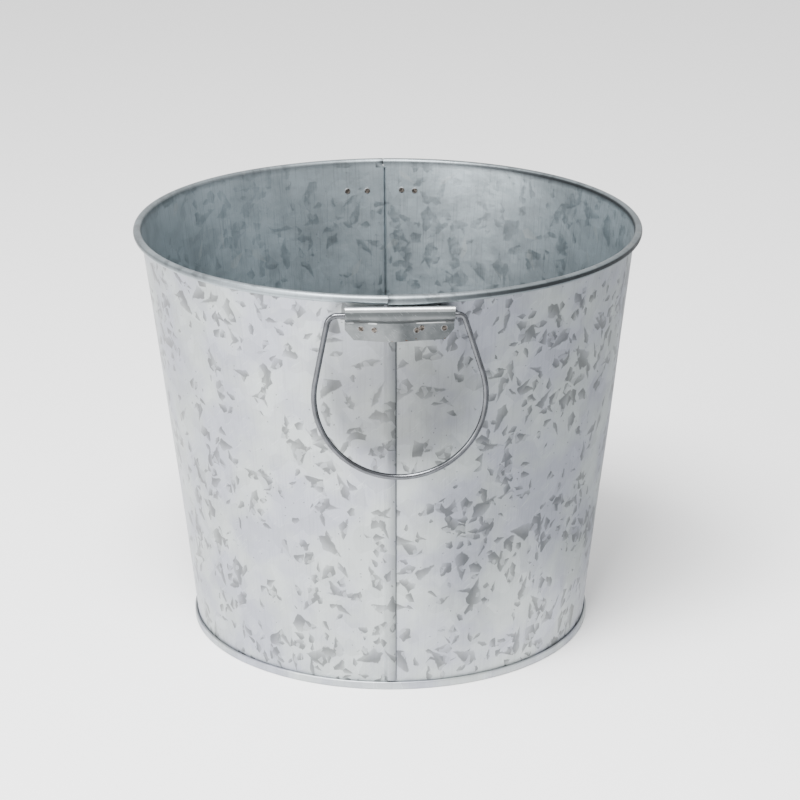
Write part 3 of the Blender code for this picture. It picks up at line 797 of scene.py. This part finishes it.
def rim_painted_light(angles, past, lift):
    """Painted shade and painted reflection on the rim roll: a little painted shade all round and
    more on the right, a dark belt round its middle as a painted reflection of dark surroundings,
    stronger on the right, and a dark cut end where the roll begins."""
    belt = smooth(lift, -0.55, -0.15) * (1 - smooth(lift, 0.45, 0.80))
    right = smooth(np.sin(angles), -0.2, 0.6)
    cut_end = 1 - smooth(past, 0.0, 0.0008)
    return 0.16 + 0.22 * right + (0.42 + 0.34 * right) * belt + 0.5 * cut_end


def wall_half(scene, name, seam, next_seam, fat_start):
    """One half sheet as a mesh."""
    pail, p = scene.bucket_pail, places(scene)
    rows, low, high, roll = wall_section(p)
    grid, place, painted_tones = [], [], []
    run = np.concatenate([[0.0], np.cumsum(np.linalg.norm(np.diff(rows, axis=0), axis=1))])
    for j, (r, z) in enumerate(rows):
        radius = p.foot_mid if j < low - 1 else float(wall_mid(p, z))
        turned = low <= j <= high
        angles, heights, inner, main = half_columns(p, seam, next_seam, pail.quarter_facets,
                                                    pail.seam_width, radius, turned)
        reach, rise = r + heights, np.full(len(angles), z)
        if j >= roll:
            step = pail.roll_step * fat_start
            step *= 1 - smooth((angles - seam) * radius, 0.0, STEP_FADE)
            spin = p.curl_start - CURL_SWEEP * (j - roll) / (len(rows) - 1 - roll)
            reach = reach + step * (math.cos(spin) - math.cos(p.curl_start))
            rise = rise + step * (math.sin(spin) - math.sin(p.curl_start))
        middle = math.sin(math.pi * min(max((z - 0.02) / (p.seam_high - 0.045), 0.0), 1.0)) ** 2
        quiet = smooth(np.abs(np.sin(angles)), 0.25, 0.5) * middle
        reach = reach + pail.ripple * quiet * (np.sin(angles * 7 + z * 31)
                                              + np.sin(angles * 13 - z * 47 + 1.3))
        reach = reach + swell(scene, p, angles, z)
        # The rim roll's rows take painted shade and a painted reflection.
        if j >= roll:
            painted_tones.append(rim_painted_light(angles, (angles - seam) * radius, math.sin(spin)))
        # Beside the seams: painted shade in the slit and on the band, and a painted highlight on
        # the edge before the next seam.
        elif low - 1 <= j <= high + 1:
            half_seam = pail.seam_width / 2 / radius
            painted_tones.append(seam_tone(pail, (angles - seam - half_seam) * radius,
                                   (angles - next_seam + half_seam) * radius, inner, main,
                                   turned))
        else:
            painted_tones.append(np.zeros(len(angles)))
        grid.append(np.stack([reach * np.sin(angles), -reach * np.cos(angles), rise], axis=1))
        place.append(np.stack([angles * p.top_r, np.full(len(angles), run[j])], axis=1))
    grid = np.stack(grid, axis=1)
    place = np.stack(place, axis=1)
    columns, count = grid.shape[:2]
    i = np.arange(columns - 1)[:, None]
    j = np.arange(count - 1)[None, :]
    folded = (i < inner - 1) | (i > inner + main - 1)
    stepping = i == inner + main - 1
    seam_rows = (j >= low) & (j < high)
    cut = (j == low - 1) | (j == high)
    cells = (folded & seam_rows) | (stepping & ~cut) | (~folded & ~stepping & (j >= 0))
    mesh = sheet_mesh(name, grid, cells, p.sheet, place, -1.0, np.stack(painted_tones, axis=1))
    return outward(mesh)


class BUCKET_OT_wall(bpy.types.Operator):
    """Adds the two half sheets with their lock seams, rim roll and bottom hook"""

    bl_idname = "bucket.wall"
    bl_label = "Wall"

    def execute(self, context):
        scene = context.scene
        p = places(scene)
        halves = (("body_right_sheet", "body_right", p.front_seam, p.back_seam, 1.0),
                  ("body_left_sheet", "body_left", p.back_seam, p.front_seam + 2 * math.pi, 0.0))
        for name, node, seam, next_seam, fat in halves:
            mesh = wall_half(scene, name, seam, next_seam, fat)
            finish_piece(name, mesh, finishes(scene)["hot_dip_zinc_sheet"], "pail",
                         "body_sheet", node)
        return {"FINISHED"}


# The base and the rim wire

FLOOR_RINGS = (0.0, 0.035, 0.070, 0.095)


def base_outline(p, floor_height):
    """Closed section of the pan: the underside out to the hook, and back along the top."""
    bend, pan_bend = 0.0006, 0.0012
    inside, outside = p.foot_mid - p.pitch, p.foot_mid + 3 * p.pitch
    floor = floor_height - p.sheet / 2
    ground = p.sheet / 2
    path = [(r, floor) for r in FLOOR_RINGS]
    path += arc((inside - pan_bend, floor - pan_bend), pan_bend, math.pi / 2, 0.0, 6)
    path += arc((inside + bend, ground + bend), bend, math.pi, 1.5 * math.pi, 6)
    path += arc((outside - bend, ground + bend), bend, 1.5 * math.pi, 2 * math.pi, 6)
    path += arc((p.foot_mid + 2 * p.pitch, p.band_top), p.pitch, 0.0, math.pi, 8)
    path.append((p.foot_mid + p.pitch, p.foot_z))
    points = np.array(path)
    runs = np.diff(points, axis=0)
    runs /= np.linalg.norm(runs, axis=1, keepdims=True)
    before, after = np.vstack([runs[:1], runs]), np.vstack([runs, runs[-1:]])
    normal = np.stack([-(before + after)[:, 1], (before + after)[:, 0]], axis=1)
    normal /= np.linalg.norm(normal, axis=1, keepdims=True)
    side = np.stack([-after[:, 1], after[:, 0]], axis=1)
    reach = (p.sheet / 2 / (normal * side).sum(axis=1))[:, None]
    above, below = points + normal * reach, points - normal * reach
    above[0, 0] = below[0, 0] = 0.0
    return np.vstack([above, below[::-1]])


class BUCKET_OT_base(bpy.types.Operator):
    """Adds the pressed pan whose edge folds over the wall's bottom hook"""

    bl_idname = "bucket.base"
    bl_label = "Base"

    def execute(self, context):
        scene = context.scene
        p = places(scene)
        outline = base_outline(p, scene.bucket_pail.floor_height)
        section = bpy.data.meshes.new("base_section")
        section.from_pydata([(r, 0.0, z) for r, z in outline], [], [])
        material = finishes(scene)["hot_dip_zinc_base"]
        mesh = bake(section, turned_tree(), {"Facets": 4 * scene.bucket_pail.quarter_facets,
                                             "Material": material}, "base_pan")
        finish_piece("base_pan", outward(mesh), material, "pail", "base_sheet", "base")
        return {"FINISHED"}


def path_mesh(name, points):
    """A helper mesh whose edges join the points in a row."""
    mesh = bpy.data.meshes.new(name)
    mesh.from_pydata([tuple(q) for q in points], [(k, k + 1) for k in range(len(points) - 1)], [])
    return mesh


def add_wire(scene, name, points, diameter, facets, body, node):
    """Makes a round wire along the points, and its piece."""
    material = finishes(scene)["dipped_zinc_wire"]
    mesh = bake(path_mesh(name + "_path", points), wire_tree(),
                {"Diameter": diameter, "Facets": facets, "Material": material}, name)
    return finish_piece(name, outward(mesh), material, body, "wire", node)


class BUCKET_OT_rim_wire(bpy.types.Operator):
    """Adds the wire inside the rim roll, its ends meeting at the back seam"""

    bl_idname = "bucket.rim_wire"
    bl_label = "Rim wire"

    def execute(self, context):
        scene = context.scene
        p = places(scene)
        gap = RIM_WIRE_GAP / 2 / p.bead_r
        points = []
        for a in np.linspace(p.back_seam + gap, p.back_seam + 2 * math.pi - gap, 300):
            r = p.bead_r + float(swell(scene, p, a, p.bead_z))
            points.append((r * math.sin(a), -r * math.cos(a), p.bead_z))
        add_wire(scene, "rim_wire_ring", points, scene.bucket_pail.rim_wire, 16, "pail",
                 "rim_wire")
        return {"FINISHED"}


# Hangers


def strip_section(scene):
    """Section of a hanger's strip: depth from its back layer, and distance below its top."""
    hanger, handle = scene.bucket_hanger, scene.bucket_handle
    lap = hanger.sheet + HANGER_LAP
    depth = handle.wire + LOOP_PLAY + hanger.sheet
    crease = AXIS_BELOW_LOOP + LOOP_TAIL
    top = depth / 2 + hanger.sheet / 2
    start, bottom = crease + PLATE_BLEND, crease + PLATE_HEIGHT
    corner = bottom - hanger.corner_height
    plate = list(np.linspace(crease, start, 7)[1:]) + list(np.linspace(start, corner, 6)[1:])
    plate += list(np.linspace(corner, bottom, 12)[1:])
    back = [(0.0, d) for d in reversed(plate)]
    back += [(0.0, d) for d in np.linspace(crease, top, 10)]
    over = [(x, 2 * top - y) for x, y in arc((depth / 2, top), depth / 2, math.pi, 0.0, 18)]
    belly = []
    for share in np.linspace(0.0, 1.0, 17)[1:]:
        ease = (1 - share ** 2.2) if share < 1 else 0.0
        belly.append((lap + (depth - lap) * ease, AXIS_BELOW_LOOP + LOOP_TAIL * share))
    front = [(depth, AXIS_BELOW_LOOP)] + belly
    return back[:-1] + over + front + [(lap, d) for d in plate], start, bottom


def plate_outside(scene, p, x, z, below, seam_x, start):
    """Distance from the pail's axis plane to the middle of the strip's back layer."""
    wall = wall_mid(p, z) + p.sheet / 2
    low = seam_x - scene.bucket_pail.seam_width / 2 - BRIDGE_LEAD
    high = seam_x + scene.bucket_pail.seam_width / 2 + BRIDGE_TAIL
    apart = np.maximum(np.maximum(low - x, x - high), 0.0)
    climb = p.proud * smooth(1 - apart / BRIDGE_RAMP, 0.0, 1.0)
    bent = np.sqrt(wall * wall - x * x) + p.bridge_base + climb
    blend = smooth(below, AXIS_BELOW_LOOP + PLATE_LEAD, start)
    return (wall + p.loop_back) * (1 - blend) + bent * blend


class BUCKET_OT_hangers(bpy.types.Operator):
    """Adds the two strips folded round the handles' wires"""

    bl_idname = "bucket.hangers"
    bl_label = "Hangers"

    def execute(self, context):
        scene = context.scene
        p, hanger = places(scene), scene.bucket_hanger
        section, start, bottom = strip_section(scene)
        for name, node, seam_x, turn in (
                ("front_hanger_strip", "front_hanger", FRONT_SEAM_X, 1),
                ("back_hanger_strip", "back_hanger", -BACK_SEAM_X, -1)):
            edge = hanger.width / 2 - hanger.corner_width
            across = np.concatenate([np.linspace(-hanger.width / 2, -edge, 9)[:-1],
                                     np.linspace(-edge, edge, 110),
                                     np.linspace(edge, hanger.width / 2, 9)[1:]])
            grid = np.zeros((len(across), len(section), 3))
            place = np.zeros((len(across), len(section), 2))
            for j, (depth, below) in enumerate(section):
                lower = max(0.0, below - bottom + hanger.corner_height)
                reach = hanger.width / 2 - hanger.corner_width * lower / hanger.corner_height
                # The columns past the edge close up towards the cut-off corner, and never meet.
                share = (np.abs(across) - edge) / (hanger.width / 2 - edge)
                closed = np.sign(across) * (edge + share * max(reach - edge, THIN_EDGE))
                x = np.where((share > 0) & (lower > 0), closed, across)
                z = p.loop_top - below
                y = plate_outside(scene, p, x, z, below, seam_x, start) + depth
                grid[:, j] = np.stack([turn * x, -turn * y, np.full(len(x), z)], axis=1)
                place[:, j, 0] = x
                place[:, j, 1] = below
            cells = np.ones((len(across) - 1, len(section) - 1), bool)
            mesh = outward(sheet_mesh(name, grid, cells, hanger.sheet, place, 1.0))
            finish_piece(name, mesh, finishes(scene)["rubbed_zinc_strip"], "pail",
                         "hanger_sheet", node)
        return {"FINISHED"}


# The lip's shape: share of the radius, and height.
CRATER_PROFILE = ((0.0, 0.00009), (0.30, 0.00009), (0.60, 0.00010), (0.74, 0.00014),
                  (0.82, 0.00016), (0.91, 0.00011), (1.0, -0.00003))
CRATER_DEPTH = 0.00016
CRATER_STEPS = 24


def crater_mesh(radius):
    """A shallow crater: a pushed-up lip round a pressed middle, closed underneath."""
    profile, steps = CRATER_PROFILE, CRATER_STEPS
    verts, faces, rings = [(0.0, 0.0, profile[0][1])], [], [0.0]
    for share, height in profile[1:]:
        for k in range(steps):
            a = 2 * math.pi * k / steps
            verts.append((radius * share * math.cos(a), radius * share * math.sin(a), height))
            rings.append(share)
    for k in range(steps):
        n = (k + 1) % steps
        faces.append((0, 1 + k, 1 + n))
        for ring in range(len(profile) - 2):
            a = 1 + ring * steps
            faces.append((a + k, a + steps + k, a + steps + n, a + n))
    last = 1 + (len(profile) - 2) * steps
    verts.append((0.0, 0.0, -CRATER_DEPTH))
    rings.append(1.0)
    faces += [(last + k, len(verts) - 1, last + (k + 1) % steps) for k in range(steps)]
    mesh = bpy.data.meshes.new("crater")
    mesh.from_pydata(verts, [], faces)
    attribute = mesh.attributes.new("crater_radius", "FLOAT", "POINT")
    attribute.data.foreach_set("value", rings)
    return mesh


class BUCKET_OT_welds(bpy.types.Operator):
    """Adds the spot welds' marks on both hangers and inside the wall behind them"""

    bl_idname = "bucket.welds"
    bl_label = "Spot welds"

    def execute(self, context):
        scene = context.scene
        p, hanger = places(scene), scene.bucket_hanger
        start = AXIS_BELOW_LOOP + LOOP_TAIL + PLATE_BLEND
        lean = math.pi / 2 - p.slope
        points, facing = [], []
        for turn, seam_x in ((1, FRONT_SEAM_X), (-1, -BACK_SEAM_X)):
            for x, z in PLATE_WELDS:
                middle, right, above = (
                    float(plate_outside(scene, p, np.float64(at_x), at_z, p.loop_top - at_z,
                                        seam_x, start))
                    for at_x, at_z in ((x, z), (x + SLOPE_RUN, z), (x, z + SLOPE_RUN)))
                points.append((turn * x, -turn * (middle + 1.5 * hanger.sheet + HANGER_LAP), z))
                facing.append((turn * (middle - right) / SLOPE_RUN, -turn,
                               (middle - above) / SLOPE_RUN))
            for x, z in INSIDE_WELDS:
                r = float(wall_mid(p, z)) - p.sheet / 2
                a = math.asin(x / r)
                points.append((turn * r * math.sin(a), -turn * r * math.cos(a), z))
                facing.append((-turn * math.sin(a), turn * math.cos(a), math.sin(lean)))
        spots = bpy.data.meshes.new("weld_points")
        spots.from_pydata(points, [], [])
        attribute = spots.attributes.new("facing", "FLOAT_VECTOR", "POINT")
        attribute.data.foreach_set("vector", np.array(facing, np.float32).ravel())
        crater = bpy.data.objects.new("crater", crater_mesh(hanger.weld_radius))
        material = finishes(scene)["spot_weld_burn"]
        mesh = bake(spots, weld_tree(), {"Crater": crater, "Seed": 5, "Material": material},
                    "spot_welds")
        bpy.data.objects.remove(crater)
        finish_piece("spot_welds", outward(mesh), material, "pail", "hanger_sheet")
        return {"FINISHED"}


# Handles


def corner_points(corner, before, after, radius, steps):
    """Points that round a corner between two directions."""
    setback = radius * math.tan(before.angle(after) / 2)
    start = corner - before * setback
    centre = start + radius * (after - before * before.dot(after)).normalized()
    first, second = start - centre, corner + after * setback - centre
    return [centre + radius * first.slerp(second, k / steps) for k in range(steps + 1)]


def handle_points(scene):
    """Centre line of the handle's wire: across, and up from the hinge line."""
    handle, hanger = scene.bucket_handle, scene.bucket_hanger
    radius = handle.width / 2
    centre = Vector((0.0, radius - handle.drop))
    halves = []
    for side, shoulder, bend in SHOULDERS:
        corner = Vector((side * (hanger.width / 2 + shoulder), 0.0))
        to_centre = centre - corner
        swing = math.atan2(to_centre.y, to_centre.x)
        swing += math.asin(radius / to_centre.length) * side
        leg = Vector((math.cos(swing), math.sin(swing)))
        touch = corner + math.sqrt(to_centre.length ** 2 - radius ** 2) * leg
        across = Vector((side, 0.0))
        inner = Vector((side * HANDLE_END_GAP / 2, 0.0))
        bent = corner_points(corner, across, leg, bend, 10)
        straight = [inner.lerp(bent[0], k / 8) for k in range(8)]
        down = [bent[-1].lerp(touch, k / 8) for k in range(1, 8)]
        halves.append(straight + bent + down + [touch])
    left, right = halves
    start = math.atan2(left[-1].y - centre.y, left[-1].x) % (2 * math.pi)
    end = math.atan2(right[-1].y - centre.y, right[-1].x) % (2 * math.pi)
    end += 2 * math.pi if end < start else 0.0
    bottom = [Vector(q) for q in arc(centre, radius, start, end, 72)]
    return left[:-1] + bottom + list(reversed(right[:-1]))


class BUCKET_OT_handles(bpy.types.Operator):
    """Adds the two bent wire handles, hanging straight down"""

    bl_idname = "bucket.handles"
    bl_label = "Handles"

    def execute(self, context):
        scene = context.scene
        p, handle = places(scene), scene.bucket_handle
        for name, body, turn in (("front_handle_wire", "front_handle", 1),
                                 ("back_handle_wire", "back_handle", -1)):
            points = [(turn * q.x, -turn * p.axis_y, p.axis_z + q.y)
                      for q in handle_points(scene)]
            add_wire(scene, name, points, handle.wire, handle.facets, body, body)
        return {"FINISHED"}


# Stage

FLOOR_REACH = 9.0
# Each light's place, target and size.
LIGHTS = (("top_light", (-0.35, -0.75, 1.75), (0.0, 0.0, 0.10), 0.9),
          ("left_light", (-1.3, -1.15, 0.75), (0.0, 0.0, 0.12), 1.1))
CARD_CORNERS = [(0.06, -1.2, 0.001), (1.3, -1.2, 0.001), (1.3, -0.14, 0.001),
                (0.06, -0.14, 0.001), (1.3, 0.9, 0.001), (0.16, 0.9, 0.001),
                (0.16, -0.14, 0.001), (1.3, -1.2, 0.9), (1.3, 0.9, 0.9)]
CARD_FACES = [(0, 1, 2, 6, 3), (6, 2, 4, 5), (1, 7, 8, 4, 2)]
CAMERA_PLACE = (-0.05218, -1.45480, 0.6484)
CAMERA_TURN = (70.30, 0.0, -2.27)


def board(name, finish, colour, roughness, corners, faces):
    """A flat matt piece of the stage."""
    mesh = bpy.data.meshes.new(name)
    mesh.from_pydata(corners, [], faces)
    material = bpy.data.materials.new(finish)
    material.use_nodes = True
    feed(material.node_tree, material.node_tree.nodes["Principled BSDF"],
         {"Base Color": colour, "Roughness": roughness})
    mesh.materials.append(material)
    piece = bpy.data.objects.new(name, mesh)
    bpy.context.scene.collection.objects.link(piece)
    return piece


def aim(thing, target):
    """Turns a light towards a target."""
    away = Vector(target) - thing.location
    thing.rotation_euler = away.to_track_quat("-Z", "Y").to_euler()


class BUCKET_OT_stage(bpy.types.Operator):
    """Adds the pale floor, the soft lights and the camera"""

    bl_idname = "bucket.stage"
    bl_label = "Stage"

    def execute(self, context):
        scene = context.scene
        sizes = scene.bucket_stage
        far = FLOOR_REACH
        floor = board("studio_floor", "pale_paper", scene.bucket_colours.floor, 0.9,
                      [(-far, -far, 0), (far, -far, 0), (far, far, 0), (-far, far, 0)],
                      [(0, 1, 2, 3)])
        for name, spot, target, size in LIGHTS:
            lamp = bpy.data.lights.new(name, "AREA")
            lamp.shape = "SQUARE"
            lamp.size = size
            lamp.energy = getattr(sizes, name.replace("light", "power"))
            light = bpy.data.objects.new(name, lamp)
            scene.collection.objects.link(light)
            light.location = spot
            aim(light, target)
        # A grey card on the right, seen only in reflections, shades that side of the metal.
        card = board("dark_card", "dark_felt", linear(CARD), 0.5, CARD_CORNERS, CARD_FACES)
        for ray in ("camera", "shadow", "diffuse"):
            setattr(card, "visible_" + ray, False)
        world = bpy.data.worlds.new("soft_sky")
        world.use_nodes = True
        sky = world.node_tree.nodes["Background"]
        sky.inputs["Color"].default_value = (1.0, 1.0, 1.0, 1.0)
        sky.inputs["Strength"].default_value = sizes.sky
        scene.world = world
        camera_data = bpy.data.cameras.new("camera")
        camera_data.lens = sizes.lens
        camera_data.sensor_width = 36.0
        camera = bpy.data.objects.new("camera", camera_data)
        scene.collection.objects.link(camera)
        camera.location = CAMERA_PLACE
        camera.rotation_euler = [math.radians(degrees) for degrees in CAMERA_TURN]
        scene.camera = camera
        return {"FINISHED"}


# Panel and registration

GROUPS = {"bucket_pail": PailSizes, "bucket_hanger": HangerSizes, "bucket_handle": HandleSizes,
          "bucket_colours": FinishColours, "bucket_stage": StageSizes}
OPERATORS = (BUCKET_OT_wall, BUCKET_OT_base, BUCKET_OT_rim_wire, BUCKET_OT_hangers,
             BUCKET_OT_welds, BUCKET_OT_handles, BUCKET_OT_stage)


class BUCKET_PT_panel(bpy.types.Panel):
    """Lists the bucket's sizes, colours and pieces"""

    bl_idname = "BUCKET_PT_panel"
    bl_label = "Florist bucket"
    bl_space_type = "VIEW_3D"
    bl_region_type = "UI"
    bl_category = "Bucket"

    def draw(self, context):
        for attribute, group in GROUPS.items():
            box = self.layout.box()
            for key in group.__annotations__:
                box.prop(getattr(context.scene, attribute), key)
        for operator in OPERATORS:
            self.layout.operator(operator.bl_idname)


def register():
    for kind in (*GROUPS.values(), *OPERATORS, BUCKET_PT_panel):
        bpy.utils.register_class(kind)
    for attribute, group in GROUPS.items():
        setattr(bpy.types.Scene, attribute, PointerProperty(type=group))


def unregister():
    for attribute in GROUPS:
        delattr(bpy.types.Scene, attribute)
    for kind in reversed((*GROUPS.values(), *OPERATORS, BUCKET_PT_panel)):
        bpy.utils.unregister_class(kind)


def main():
    register()
    bpy.ops.bucket.wall()
    bpy.ops.bucket.base()
    bpy.ops.bucket.rim_wire()
    bpy.ops.bucket.hangers()
    bpy.ops.bucket.welds()
    bpy.ops.bucket.handles()
    bpy.ops.bucket.stage()
    bpy.context.view_layer.update()
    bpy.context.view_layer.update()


if __name__ == "__main__":
    main()
